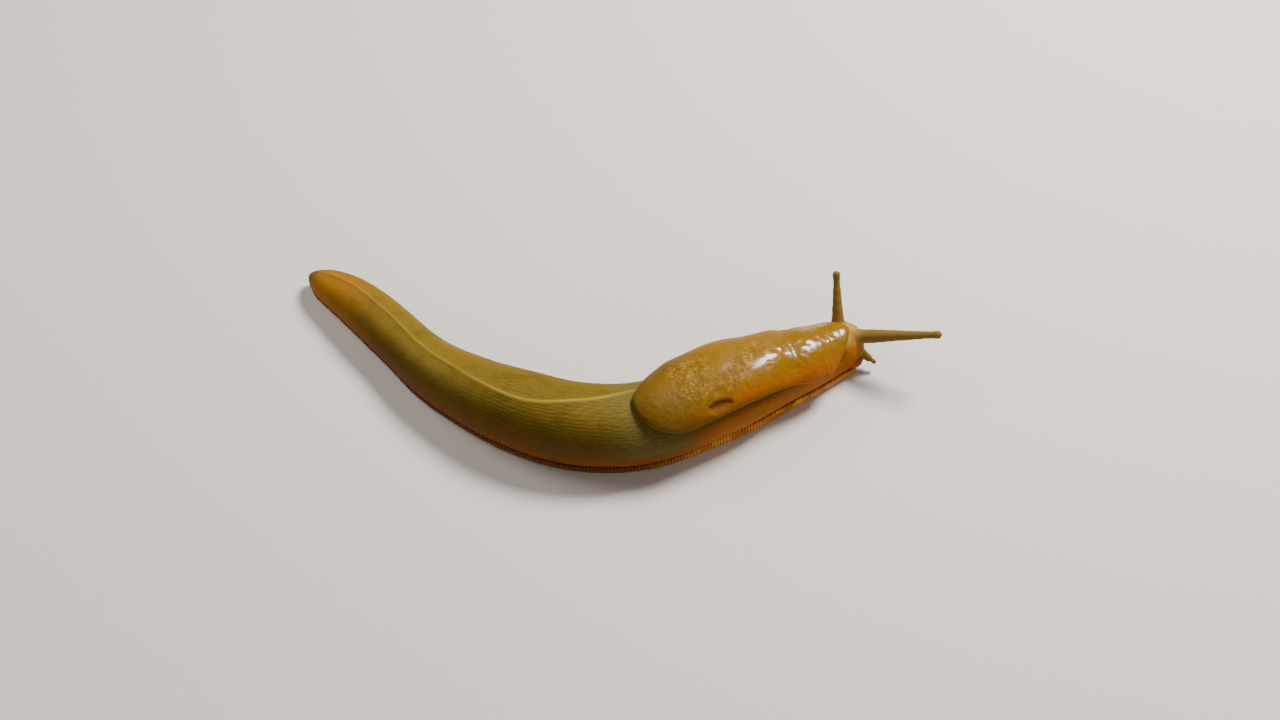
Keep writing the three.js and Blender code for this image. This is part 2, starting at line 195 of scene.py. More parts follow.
# %% Section
def end_share(station):
    return rounded(station, TAIL_ROUNDING) * rounded(BODY_LENGTH - station, SNOUT_ROUNDING)


def groove_level(station):
    return GROOVE_BASE + GROOVE_RISE * from_table(HEIGHT, station)


def wall(station, angle, grow=0.0):
    """Side and level of the flank; angle is in degrees from the back's top line, left positive."""
    share = end_share(station)
    width = from_table(HALF_WIDTH, station)
    height = from_table(HEIGHT, station)
    middle = MIDDLE_SHARE * height
    a = np.radians(np.minimum(np.abs(angle), 90))
    b = np.radians(np.maximum(np.abs(angle) - 90, 0))
    reach = width * (np.sin(a) - (1 - GROOVE_SHARE) * (1 - np.cos(b)))
    rise = (height - middle) * np.cos(a) - (middle - groove_level(station)) * np.sin(b)
    side = reach * share + grow * np.sin(a) * np.cos(b / 2)
    return np.sign(angle) * side, middle + rise * share + grow * (np.cos(a) - np.sin(b))


# a fit of half the girth of the section, as shares of its half width and its height
GIRTH_FROM_WIDTH = 1.35
GIRTH_FROM_HEIGHT = 0.72


def around(station, angle):
    """Distance over the skin from the top line, in millimetres."""
    half_girth = GIRTH_FROM_WIDTH * from_table(HALF_WIDTH, station)
    half_girth = half_girth + GIRTH_FROM_HEIGHT * from_table(HEIGHT, station)
    return np.radians(angle) / math.pi * half_girth * end_share(station)


# %% [markdown]
# ## Noise made of numbers
# The fine ridges of the skin are real shapes, not only shading, so their pattern is worked out here. A
# repeatable scatter stands in for chance, smooth ripples bend the lines, and each line is cut into short
# pieces, as the long tubercles of a slug are.


# %% Scatter, waves and fine lines
def scatter(i, j, seed):
    """A repeatable number from 0 to 1 for each pair of whole numbers."""
    wave = np.sin(i * 127.1 + j * 311.7 + seed * 74.7) * 43758.5453
    return wave - np.floor(wave)


def ripples(x, y, seed):
    """Smooth noise from -1 to 1, one swell for each unit of x and y."""
    i, j = np.floor(x), np.floor(y)
    u, v = x - i, y - j
    u, v = u * u * (3 - 2 * u), v * v * (3 - 2 * v)
    low = scatter(i, j, seed) * (1 - u) + scatter(i + 1, j, seed) * u
    high = scatter(i, j + 1, seed) * (1 - u) + scatter(i + 1, j + 1, seed) * u
    return 2 * (low * (1 - v) + high * v) - 1


def fine_lines(x, y, seed):
    """1 on a crest and 0 between crests: a line for each unit of y, cut up for each unit of x."""
    row = np.floor(y)
    crest = 0.5 - 0.5 * np.cos(2 * np.pi * (y - row))
    piece = x + scatter(row, 0 * row, seed)
    cut = np.abs(piece - np.floor(piece) - 0.5)
    depth = scatter(np.floor(piece), row, seed + 1)
    return crest * (1 - (0.35 + 0.5 * depth) * smoothstep(cut, 0.3, 0.5))


# %% [markdown]
# ## Back, flanks and foot
# One long closed surface carries the keel along the back, fine lines of tubercles down the flanks, the
# groove, the edge of the foot and the flat sole. It is a grid of rings, closed by a fan at each end.
# Beside its points it keeps a few marks that the colours will need later: how far along and around a
# point lies, how near a crest it is, and how near the keel.


# %% Meshes from points
def grid_faces(rows, columns, wrap):
    """Quads of a grid of points, as rows of four indices."""
    last = columns if wrap else columns - 1
    i, j = np.meshgrid(np.arange(rows - 1), np.arange(last), indexing="ij")
    a = (i * columns + j).ravel()
    b = (i * columns + (j + 1) % columns).ravel()
    return np.stack([a, b, b + columns, a + columns], -1)


def make_mesh(name, points, faces):
    """A mesh object at the origin, from points in millimetres."""
    mesh = bpy.data.meshes.new(name)
    mesh.from_pydata((np.asarray(points) * MM).tolist(), [], [list(map(int, face)) for face in faces])
    mesh.validate()
    mesh.update()
    return in_scene(name, mesh)


def read(items, name, width, kind=float):
    """What the vertices, edges or triangles of a mesh hold under a name, as rows of numbers."""
    values = np.empty(len(items) * width, kind)
    items.foreach_get(name, values)
    return values.reshape(-1, width)


def face_outwards(piece):
    """Turns every face if the closed surface is inside out."""
    mesh = piece.data
    mesh.calc_loop_triangles()
    corners = read(mesh.loop_triangles, "vertices", 3, int)
    a, b, c = read(mesh.vertices, "co", 3)[corners].transpose(1, 0, 2)
    if np.einsum("ij,ij->", a, np.cross(b, c)) < 0:
        mesh.flip_normals()


def tube(name, rings, first, last):
    """A closed surface from rings of points, with a fan to one point at each end."""
    rows, columns = rings.shape[:2]
    points = np.concatenate([rings.reshape(-1, 3), [first], [last]])
    faces = grid_faces(rows, columns, True).tolist()
    start, end = rows * columns, rows * columns + 1
    base = (rows - 1) * columns
    for j in range(columns):
        k = (j + 1) % columns
        faces.append((start, k, j))
        faces.append((end, base + j, base + k))
    piece = make_mesh(name, points, faces)
    face_outwards(piece)
    return piece


def ball(sides, heights):
    """Rings of points on a ball of radius 1, without its two poles."""
    turn = np.linspace(0, 2 * np.pi, sides, endpoint=False)[None, :]
    rise = np.linspace(-np.pi / 2, np.pi / 2, heights)[1:-1, None]
    level = np.sin(rise) + 0 * turn
    return np.stack([np.cos(rise) * np.cos(turn), np.cos(rise) * np.sin(turn), level], -1)


# %% Marks of the parts
MARKS = ("along", "around", "crown", "keel", "mantle", "coarse", "rim", "feeler", "shade")
part_points = []
part_marks = []


def keep_marks(points, **marks):
    """Notes what each point of a part carries, to be found again after the parts are joined."""
    count = len(points)
    columns = [np.broadcast_to(marks.get(mark, 0.0), count) for mark in MARKS]
    part_points.append(points)
    part_marks.append(np.stack(columns, -1).astype(float))


# %% Long surface of the body
KEEL_HEIGHT = 0.5
KEEL_SPREAD = 6.0
KEEL_COLOUR_SPREAD = 2.2
KEEL_LINE = [
    (0, 0), (18, 6), (34, 2), (45, -2), (55, -12), (65, -16), (73, -4), (81, 8), (88, 20),
]
LINE_PITCH = 0.66
LINE_PIECE = 2.7
LINE_HEIGHT = 0.085
LINE_PITCH_HALF_WIDTH = 8.9
ZIGZAG_HEIGHT = 0.24
ZIGZAG_STEP = 2.3
ROW_STEP = 0.66
FINE_POINTS = 118
PLAIN_POINTS = 26
FINE_UNTIL = 112
FRINGE_SHARES = [(0, 0.86), (60, 0.88), (100, 0.9), (120, 0.98), (136, 1.02)]
FRINGE_ROUNDING = 0.75
FOOT_START = 0.4
FOOT_END = 141.6
FOOT_TAIL_ROUNDING = 4.5
FOOT_SNOUT_ROUNDING = 3.6
FOOT_LIFT_RUN = 1.6
FOOT_GAP = 0.12

end_steps = np.array([0.05, 0.15, 0.3])
stations = np.concatenate([
    end_steps,
    np.linspace(0.5, BODY_LENGTH - 0.5, int(BODY_LENGTH / ROW_STEP)),
    BODY_LENGTH - end_steps[::-1],
])
wall_angles = np.concatenate([
    np.linspace(0, FINE_UNTIL, FINE_POINTS, endpoint=False),
    np.linspace(FINE_UNTIL, 180, PLAIN_POINTS),
])


def line_relief(station, angle):
    """Crests of the fine lines: plain to see behind the mantle, faint at the tail and low on the flank."""
    arc = around(station, angle)
    squeeze = np.sqrt(from_table(HALF_WIDTH, station) / LINE_PITCH_HALF_WIDTH)
    wander = 1.1 * ripples(station / 16, arc / 7, 5) + 0.4 * ripples(station / 3.4, arc / 1.6, 6)
    drift = 9 * ripples(station / 20, arc / 3, 7)
    zigzag = ZIGZAG_HEIGHT * np.sin(2 * np.pi * station / ZIGZAG_STEP + drift)
    crest = fine_lines(station / LINE_PIECE, arc / (LINE_PITCH * squeeze) + wander + zigzag, 11)
    fade = smoothstep(station, 1, 9) * (1 - smoothstep(np.abs(angle), 84, FINE_UNTIL))
    fade = fade * (0.25 + 0.75 * smoothstep(station, 40, 68)) * (1 - 0.6 * smoothstep(station, 118, 134))
    return crest, fade


def keel_share(station, angle):
    """1 on the keel's edge, falling off to both sides like a roof."""
    wobble = 1.2 * ripples(station / 7, 0 * station, 21)
    off = np.abs(angle - from_table(KEEL_LINE, station) - wobble)
    roof = np.exp(-np.sqrt(off**2 + 1.2) / KEEL_SPREAD)
    return roof * smoothstep(station, 2, 8) * (1 - smoothstep(station, 92, 100)), off


# %% Sides of the body
def body_side(hand):
    """Points down one side, from the top line to the groove, for every station."""
    s, angle = np.meshgrid(stations, wall_angles, indexing="ij")
    crest, fade = line_relief(s, hand * angle)
    keel, off = keel_share(s, hand * angle)
    swell = 0.12 * ripples(s / 11, hand * angle / 40, 8) * smoothstep(s, 3, 12)
    swell *= 1 - smoothstep(angle, 120, 170)
    fade = fade * smoothstep(off, 1.5, 5)
    grow = KEEL_HEIGHT * keel + swell + LINE_HEIGHT * (crest - 0.5) * fade
    side, level = wall(s, np.maximum(angle, 1e-6), grow)
    on_keel = np.exp(-((off / KEEL_COLOUR_SPREAD) ** 2)) * (keel > 0.2)
    return s, angle, side, level, 1 - (1 - crest) * fade, on_keel


# %% Edge of the foot
def foot_share(station):
    """Share of the foot's full width, which rounds off its two ends."""
    tail = rounded(station - FOOT_START, FOOT_TAIL_ROUNDING)
    return tail * rounded(FOOT_END - station, FOOT_SNOUT_ROUNDING)


def foot_side():
    """Points from the groove round the edge of the foot to the middle of the sole."""
    s = stations[:, None]
    share = foot_share(s)
    width = from_table(HALF_WIDTH, s)
    thickness = groove_level(s) - FOOT_GAP
    edge = width * from_table(FRINGE_SHARES, s) * share
    turn = np.radians(np.linspace(90, -90, 9))[None, :]
    round_side = edge - FRINGE_ROUNDING * share * (1 - np.cos(turn))
    round_level = thickness / 2 * (1 + np.sin(turn)) + 0 * s
    inner = np.minimum(width * (GROOVE_SHARE - 0.03) * end_share(s), edge - FRINGE_ROUNDING * share)
    top = np.concatenate([inner, (inner + round_side[:, :1]) / 2], 1)
    sole = round_side[:, -1:] * np.array([0.75, 0.45, 0.15])[None, :]
    side = np.concatenate([top, round_side, sole], 1)
    level = np.concatenate([thickness + 0 * top, round_level, 0 * sole], 1)
    # towards both tips the foot rises to meet the body's end
    lift = 1 - rounded(s - 0.02, FOOT_LIFT_RUN) * rounded(FOOT_END + 0.2 - s, FOOT_LIFT_RUN)
    goal = np.where(s < BODY_LENGTH / 2, MIDDLE_SHARE * from_table(HEIGHT, s), groove_level(s))
    under = np.where(s > BODY_LENGTH / 2, rounded(BODY_LENGTH - s, SNOUT_ROUNDING), 1)
    goal = MIDDLE_SHARE * from_table(HEIGHT, s) * (1 - under) + goal * under
    return s + 0 * side, side, level * (1 - lift) + goal * lift


# %% Whole rings
def body_ring():
    """Whole rings as stations, signed angles, sides, levels, crests and keel."""
    columns = []
    for hand in (-1, 1):
        s, angle, side, level, crown, keel = body_side(hand)
        foot_s, foot_out, foot_level = foot_side()
        foot_angle = np.broadcast_to(np.linspace(181, 200, foot_s.shape[1]), foot_s.shape)
        block = np.stack([
            np.concatenate([s, foot_s], 1),
            hand * np.concatenate([angle, foot_angle], 1),
            hand * np.concatenate([side, foot_out], 1),
            np.concatenate([level, foot_level], 1),
            np.concatenate([crown, np.ones(foot_s.shape)], 1),
            np.concatenate([keel, np.zeros(foot_s.shape)], 1),
        ])
        columns.append(block[:, :, 1:] if hand < 0 else block)
    return np.concatenate([columns[1], columns[0][:, :, ::-1]], 2)


ring = body_ring()
rings = place(ring[0], ring[2], ring[3])
tail_tip = place(0.0, 0.0, MIDDLE_SHARE * HEIGHT[0][1])
snout_tip = place(BODY_LENGTH, 0.0, MIDDLE_SHARE * HEIGHT[-1][1])
body = tube("slug_skin", rings, tail_tip, snout_tip)
keep_marks(
    rings.reshape(-1, 3),
    along=ring[0].ravel(),
    around=ring[1].ravel(),
    crown=ring[4].ravel(),
    keel=ring[5].ravel(),
)
print("body:", len(body.data.polygons), "faces in", len(stations), "rings")

# %% [markdown]
# ## Mantle
# The mantle is a saddle of thick skin over the shoulders, joined to the back in the middle and free round
# its edge. It is laid out as a grid from its rear edge to its front edge, set on the body's own section,
# and made into a pad whose rim is round. Shallow folds cross it where the animal has shortened itself,
# and on its right side it is pressed in for the breathing pore: a half moon with a sharp upper rim.

# %% Mantle
MANTLE_REAR = 87.5
MANTLE_REAR_CORNERS = (99.5, 106.0)
MANTLE_REAR_POWERS = (2.0, 1.3)
MANTLE_FRONT_CORNER = 130.5
MANTLE_FRONT = 140.3
MANTLE_FRONT_POWER = 1.25
MANTLE_REACH = [(99, 58), (112, 56), (121, 61), (127, 76), (131, 84), (140, 84)]
MANTLE_LEFT_SHARE = 1.25
MANTLE_THICKNESS = 2.3
MANTLE_HOOD_THICKNESS = 1.2
MANTLE_HOOD_START = 125.5
MANTLE_LIP = 0.85
MANTLE_LIP_RUN = 2.4
MANTLE_STAND_OFF = 0.3
MANTLE_UNDER_LEVEL = -0.6
MANTLE_RIM = 1.0
MANTLE_ROWS = 170
MANTLE_COLUMNS = 120
# station on the top line, depth, half width, and how far the fold leans forward on the left side
MANTLE_FOLDS = [(124.4, 0.5, 2.4, 3.4), (111.0, 0.3, 2.6, 8.0)]
PORE_STATION = 104.5
PORE_ANGLE = -40.5
PORE_LENGTH = 6.0
PORE_DROP = 2.9
PORE_DEPTH = 0.6
PORE_GIRTH = 10.5
# centre station, half length, lean, middle angle, half width in degrees, and strength of a coarse patch
GRAINY_PATCHES = [
    (114.0, 5, 0.3, -8, 25, 1.0),
    (101.5, 5, 0.0, 2, 28, 0.85),
    (106.0, 14, 0.0, -5, 38, 0.22),
]


# %% Edges, hollow and thickness of the mantle
def mantle_edges(v):
    """Stations of the rear and front edges at a share v of the way out to the side."""
    away = np.abs(v)
    run = np.where(v > 0, MANTLE_REAR_CORNERS[1], MANTLE_REAR_CORNERS[0]) - MANTLE_REAR
    power = np.where(v > 0, MANTLE_REAR_POWERS[1], MANTLE_REAR_POWERS[0])
    rear = MANTLE_REAR + run * (1 - np.sqrt(np.clip(1 - away**power, 0, 1)))
    ahead = MANTLE_FRONT - MANTLE_FRONT_CORNER
    return rear, MANTLE_FRONT_CORNER + ahead * (1 - away**MANTLE_FRONT_POWER)


def mantle_reach(station, v):
    """How far down the side the mantle hangs, in degrees from the top line: further on the left."""
    return from_table(MANTLE_REACH, station) * np.where(v > 0, MANTLE_LEFT_SHARE, 1)


def pore_hollow(station, angle):
    """1 in the hollow of the breathing pore and 0 outside it, with a sharp upper rim."""
    x = (station - PORE_STATION) / (PORE_LENGTH / 2)
    y = np.radians(PORE_ANGLE - angle) * PORE_GIRTH / PORE_DROP - 0.08 * x
    arch = 0.5 * np.sqrt(np.clip(1 - x * x, 0, 1))
    below_rim = smoothstep(arch + y, 0.0, 0.16)
    above_floor = 1 - smoothstep(y, -0.1, 0.75 * np.sqrt(np.clip(1 - x * x, 0.01, 1)))
    return (1 - smoothstep(np.abs(x), 0.72, 1.0)) * below_rim * above_floor


def mantle_surface(u, v):
    """Station, angle, thickness and distance in from the edge, for points of the outer face."""
    rear, front = mantle_edges(v)
    s = rear + (front - rear) * u
    angle = v * mantle_reach(s, v)
    width = from_table(HALF_WIDTH, s)
    from_side = np.radians((1 - np.abs(v)) * mantle_reach(s, v)) * width
    inward = np.minimum(np.minimum(s - rear, front - s), from_side)
    ahead = smoothstep(s, MANTLE_HOOD_START, MANTLE_FRONT)
    full = MANTLE_THICKNESS + (MANTLE_HOOD_THICKNESS - MANTLE_THICKNESS) * ahead
    thickness = MANTLE_LIP + (full - MANTLE_LIP) * (1 - np.exp(-inward / MANTLE_LIP_RUN))
    thickness = (thickness + MANTLE_STAND_OFF) * rounded(inward + 0.05, MANTLE_RIM)
    for fold_station, depth, spread, lean in MANTLE_FOLDS:
        centre = fold_station + lean * np.sin(np.radians(angle))
        wave = 0.5 * ripples(angle / 25, 0 * s, 31)
        fold = np.exp(-(((s - centre + wave) / spread) ** 2))
        thickness = thickness - depth * fold * smoothstep(inward, 0.5, 4)
    return s, angle, thickness, inward


# %% Grain and pad of the mantle
def pebbles(station, arc):
    """Fine wrinkles and pebbles of the mantle's wet skin, about -1 to 1."""
    coarse = ripples(station / 1.25, arc / 1.0, 41)
    fine = ripples(station / 0.62, arc / 0.56, 42)
    return 0.55 * coarse + 0.45 * fine


def grainy_patch(station, angle):
    """How coarse the top of the mantle is: two plain patches and a faint one round both."""
    coarse = 0 * station
    for centre, half_length, lean, middle, half_width, strength in GRAINY_PATCHES:
        ahead = (station - centre - lean * angle) / half_length
        aside = (angle - middle) / half_width
        coarse = np.maximum(coarse, strength * np.exp(-(ahead**4) - aside**4))
    return coarse


def mantle_pad():
    """A closed pad: an outer face with its grain and hollow, an under face inside the back, and a rim."""
    spread = np.sin(np.pi / 2 * np.linspace(-1, 1, MANTLE_COLUMNS + 1))
    run = (1 + np.sin(np.pi / 2 * np.linspace(-1, 1, MANTLE_ROWS + 1))) / 2
    u, v = np.meshgrid(run, spread, indexing="ij")
    s, angle, thickness, inward = mantle_surface(u, v)
    arc = around(s, angle)
    patch = grainy_patch(s, angle)
    calm = smoothstep(inward, 0.6, 5) * (0.3 + 0.7 * np.maximum(patch, smoothstep(s, 112, 120)))
    grain = pebbles(s, arc)
    swell = 0.16 * ripples(s / 5.5, arc / 4.5, 43) * smoothstep(inward, 0.5, 4)
    hollow = pore_hollow(s, angle)
    bold = 0.06 + 0.05 * patch + 0.06 * smoothstep(s, 113, 118)
    outer = thickness + bold * grain * calm + swell - PORE_DEPTH * hollow
    top = place(s, *wall(s, angle, outer))
    inset_s, inset_angle, *_ = mantle_surface(0.02 + 0.96 * u, 0.97 * v)
    under = place(inset_s, *wall(inset_s, inset_angle, MANTLE_UNDER_LEVEL + 0 * inset_s))
    points = np.concatenate([top.reshape(-1, 3), under.reshape(-1, 3)])
    rows, columns = u.shape
    face = grid_faces(rows, columns, False)
    layer = rows * columns
    border = [(0, j) for j in range(columns - 1)] + [(i, columns - 1) for i in range(rows - 1)]
    border += [(rows - 1, j) for j in range(columns - 1, 0, -1)] + [(i, 0) for i in range(rows - 1, 0, -1)]
    loop = [i * columns + j for i, j in border]
    rim = [(a, a + layer, b + layer, b) for a, b in zip(loop, loop[1:] + loop[:1])]
    pad = make_mesh("mantle_pad", points, face.tolist() + (face[:, ::-1] + layer).tolist() + rim)
    face_outwards(pad)
    # each mark is given for the outer face and then for the under face
    values = {
        "along": (s, inset_s),
        "around": (angle, inset_angle),
        "crown": (0.5 + 0.5 * grain * calm, 0 * s),
        "mantle": (0 * s + 1, 0 * s + 1),
        "coarse": (patch, 0 * s),
        "rim": (1 - smoothstep(inward, 0.6, 2.6), 0 * s + 1),
        "shade": (hollow, 0 * s + 1),
    }
    keep_marks(points, **{mark: np.concatenate(pair).ravel() for mark, pair in values.items()})
    return pad


pad = mantle_pad()
print("mantle:", len(pad.data.polygons), "faces")

# %% [markdown]
# ## Feelers
# The two upper feelers are long hollow stalks with an eye in the knob at the end, and the two lower ones
# are short and feel the ground. Each is a turned shape on its own straight axis, so it is built from
# rings whose radius comes from a short table. Fine rings round the stalk show where it folds when it is
# drawn in.

# %% Feelers
OPTIC_RIGHT = dict(root=2.05, waist=1.3, neck=0.78, knob=0.88, sunk=1.6)
OPTIC_LEFT = dict(root=2.1, waist=1.1, neck=0.72, knob=0.84, sunk=1.6)
ORAL = dict(root=1.45, waist=0.95, neck=0.5, knob=0.5, sunk=1.2)
# name, shape, root as station, side and level, and reach from the root to the tip
FEELERS = [
    ("optic_tentacle_right", OPTIC_RIGHT, (140.6, -1.4, 7.7), (17.8, -4.2, 6.3)),
    ("optic_tentacle_left", OPTIC_LEFT, (139.4, 2.6, 6.9), (-0.7, 8.4, 9.5)),
    ("oral_tentacle_right", ORAL, (141.4, -3.6, 3.9), (3.4, -1.6, -1.7)),
    ("oral_tentacle_left", ORAL, (141.4, 3.6, 3.9), (0.6, 3.6, -1.7)),
]
FEELER_SIDES = 32
FEELER_ROWS = 90
KNOB_CAP = 0.75
CREASE_DEPTH = 0.02
CREASE_PITCH = 0.32


def feeler_profile(shape, length):
    """Table of distance along the feeler against radius."""
    knob = shape["knob"]
    mix = lambda share, a, b: shape[a] + (shape[b] - shape[a]) * share
    return [
        (-shape["sunk"], shape["root"] * 1.05),
        (0, shape["root"]),
        (length * 0.13, mix(0.55, "root", "waist")),
        (length * 0.4, shape["waist"]),
        (length * 0.66, mix(0.6, "waist", "neck")),
        (length - knob * 2.6, shape["neck"]),
        (length - knob * 1.3, knob * 0.97),
        (length - knob * KNOB_CAP, knob),
    ]


def feeler_body(name, shape, root, reach):
    """The closed feeler, with its root's centre, its direction and its length."""
    axis = np.array(reach) / np.linalg.norm(reach)
    length = float(np.linalg.norm(reach))
    base = place(*map(float, root))
    across = np.cross(axis, [0, 0, 1])
    across /= np.linalg.norm(across)
    up = np.cross(across, axis)
    cap = KNOB_CAP * shape["knob"]
    along = np.concatenate([
        np.linspace(-shape["sunk"], length - cap, FEELER_ROWS),
        length - cap * (1 - np.sin(np.radians(np.linspace(12, 86, 8)))),
    ])
    radius = from_table(feeler_profile(shape, length), along)
    beyond = np.clip((along - (length - cap)) / cap, 0, 1)
    radius = radius * np.sqrt(1 - beyond**2)
    creased = smoothstep(along, 0, 2) * (1 - smoothstep(along, length - 2.5, length - 1.5))
    radius = radius + CREASE_DEPTH * np.sin(along / CREASE_PITCH) * creased
    turn = np.linspace(0, 2 * np.pi, FEELER_SIDES, endpoint=False)
    lump = 1 + 0.03 * ripples(along[:, None] / 1.6, turn[None, :] / 1.2 + 7, 51)
    out = radius[:, None, None] * lump[:, :, None]
    ring = across * np.cos(turn)[:, None] + up * np.sin(turn)[:, None]
    rings = base + axis * along[:, None, None] + out * ring[None, :, :]
    piece = tube(name, rings, base + axis * along[0], base + axis * length)
    share = np.repeat(np.clip(along / length, 0, 1), FEELER_SIDES)
    under = np.tile(0.5 - 0.5 * np.sin(turn), len(along))
    points = rings.reshape(-1, 3)
    keep_marks(points, along=BODY_LENGTH - 4, crown=0.5, feeler=0.05 + 0.95 * share, shade=under)
    return piece, base, axis, length


feelers = {}
for name, shape, root, reach in FEELERS:
    feelers[name] = feeler_body(name, shape, root, reach)
    print(name, "is", round(feelers[name][3], 1), "mm long")

# %% [markdown]
# ## Lips
# Under the head three soft lobes close round the mouth. They start as plain rounded lumps, and turn into
# lips once they are joined with the head and the joins are smoothed. The line of the mouth is pressed in
# after that.

# %% Lips
LIPS = [
    ("lip_right", (139.4, -4.4, 3.1), (1.9, 1.5, 1.5)),
    ("lip_left", (139.4, 4.4, 3.1), (1.9, 1.5, 1.5)),
    ("lip_upper", (143.2, 0.0, 4.1), (1.5, 2.2, 0.9)),
]


def lobe(name, spot, size):
    """A rounded lump that lies along the body's line."""
    centre = place(*map(float, spot))
    angle = float(heading(spot[0]))
    x, y, z = (np.array(size) * ball(36, 26)).transpose(2, 0, 1)
    across = [x * np.cos(angle) - y * np.sin(angle), x * np.sin(angle) + y * np.cos(angle)]
    rings = centre + np.stack([*across, z], -1)
    top = np.array([0, 0, size[2]])
    piece = tube(name, rings, centre - top, centre + top)
    keep_marks(rings.reshape(-1, 3), along=spot[0], around=120.0, crown=0.6, shade=-1.0)
    return piece


lips = [lobe(*lip) for lip in LIPS]
print("lips:", len(lips))

# %% [markdown]
# ## Joining the skin
# A Boolean union turns the overlapping parts into one closed skin. After it the points are looked up in
# the list that was kept, so that each gets its marks back. The joins are then relaxed with a few rounds
# of averaging at the roots of the feelers and lips, where real skin runs over without a corner. Last, a
# shallow crease is pressed into the snout for the line of the mouth, which turns down at both ends.


# %% Union
def unite(base, other):
    """Adds one closed surface to another and removes what lies inside."""
    modifier = base.modifiers.new("join", "BOOLEAN")
    modifier.operation = "UNION"
    modifier.solver = "MANIFOLD"
    modifier.object = other
    graph = bpy.context.evaluated_depsgraph_get()
    joined = bpy.data.meshes.new_from_object(base.evaluated_get(graph))
    base.modifiers.clear()
    old = base.data
    base.data = joined
    bpy.data.meshes.remove(old)
    bpy.data.objects.remove(other)


for part in [pad, *lips, *(piece for piece, *_ in feelers.values())]:
    unite(body, part)
skin = body
skin.data.name = "slug_skin"
print("skin:", len(skin.data.vertices), "points,", len(skin.data.polygons), "faces")


# %% Marks and soft joins
def look_up_marks(points):
    """Marks of the nearest kept point, for every point of the joined skin."""
    kept = np.concatenate(part_points) * MM
    marks = np.concatenate(part_marks)
    tree = KDTree(len(kept))
    for index, point in enumerate(kept):
        tree.insert(point, index)
    tree.balance()
    found = [tree.find(point)[1] for point in points]
    return marks[found]


def relax(points, edges, weight, rounds):
    """Moves points towards the middle of their neighbours, as far as their weight says."""
    count = np.bincount(edges.ravel(), minlength=len(points))[:, None]
    for _ in range(rounds):
        total = np.zeros_like(points)
        np.add.at(total, edges[:, 0], points[edges[:, 1]])
        np.add.at(total, edges[:, 1], points[edges[:, 0]])
        points = points + weight[:, None] * (total / np.maximum(count, 1) - points)
    return points


# inner and outer reach of a join, and how strong it is; a feeler's reach is in radii of its root
FEELER_JOIN = (1.26, 2.1, 0.55)
LIP_JOIN = (1.6, 3.0, 0.5)
RELAX_ROUNDS = 14


def join_weight(points):
    """How strongly each point is relaxed: most at a join, and not at all away from the joins."""
    joins = [(spot, *LIP_JOIN) for _, spot, _ in LIPS]
    inner, outer, most = FEELER_JOIN
    for _, shape, root, _ in FEELERS:
        joins.append((root, inner * shape["root"], outer * shape["root"], most))
    weight = np.zeros(len(points))
    for spot, inner, outer, most in joins:
        near = np.linalg.norm(points - place(*map(float, spot)) * MM, axis=1)
        weight = np.maximum(weight, most * (1 - smoothstep(near, inner * MM, outer * MM)))
    return weight


mesh = skin.data
points = read(mesh.vertices, "co", 3)
marks = look_up_marks(points)
weight = join_weight(points)
points = relax(points, read(mesh.edges, "vertices", 2, int), weight, RELAX_ROUNDS)
print("relaxed", int((weight > 0).sum()), "points at the joins")

# %% Line of the mouth
MOUTH = (143.2, 0.0, 2.9)
MOUTH_DEPTH = 0.45
MOUTH_THICKNESS = 0.36
MOUTH_DROOP = 0.08
MOUTH_HALF_WIDTH = (2.0, 3.2)
MOUTH_REACH_BACK = (-4.0, -2.8)

turn = float(heading(MOUTH[0]))
from_mouth = points / MM - place(*map(float, MOUTH))
ahead = from_mouth[:, 0] * np.cos(turn) + from_mouth[:, 1] * np.sin(turn)
side = from_mouth[:, 1] * np.cos(turn) - from_mouth[:, 0] * np.sin(turn)
mouth = np.exp(-(((from_mouth[:, 2] + MOUTH_DROOP * side**2) / MOUTH_THICKNESS) ** 2))
mouth = mouth * (1 - smoothstep(np.abs(side), *MOUTH_HALF_WIDTH)) * smoothstep(ahead, *MOUTH_REACH_BACK)
points = points - MOUTH_DEPTH * MM * mouth[:, None] * np.array([np.cos(turn), np.sin(turn), 0])
mesh.vertices.foreach_set("co", points.ravel())
print("mouth:", int((mouth > 0.5).sum()), "points pressed in")


# %% Marks on the skin
def write_mark(name, values):
    layer = mesh.attributes.new(name, "FLOAT", "POINT")
    layer.data.foreach_set("value", values)


for index, mark in enumerate(MARKS):
    write_mark(mark, marks[:, index])
write_mark("mouth", mouth)
# "down" is the angle without its sign, so that no colour jumps along the middle of the sole
write_mark("down", np.abs(marks[:, MARKS.index("around")]))
mesh.polygons.foreach_set("use_smooth", [True] * len(mesh.polygons))
mesh.update()
print("marks on the skin:", *MARKS, "mouth", "down")

# %% [markdown]
# ## Fringe of the foot
# All along the edge of the foot stand small upright ribs, a little under a millimetre apart, which grow
# taller beside the mantle. They repeat along a line, so Geometry Nodes lay them: the line is resampled by
# length, one rib goes on each point, turned across the line and varied in size, and everything is made
# real at the end. The line's own radius says how tall the ribs are at each point, so that they all end on
# the floor.

# %% Fringe line
FRINGE_FROM = 5.0
FRINGE_TO = 138.5
FRINGE_INSET = 0.3
RIB_PITCH = 0.72
RIB_WIDTH = 0.36
RIB_REACH = 0.46
RIB_HEIGHT = 1.1
RIB_SMALLEST = (0.85, 0.85, 0.85)
RIB_LARGEST = (1.15, 1.05, 1.04)
RIB_SEED = 4
# the share that keeps the tallest rib just clear of the floor
RIB_CLEARANCE = 1.06


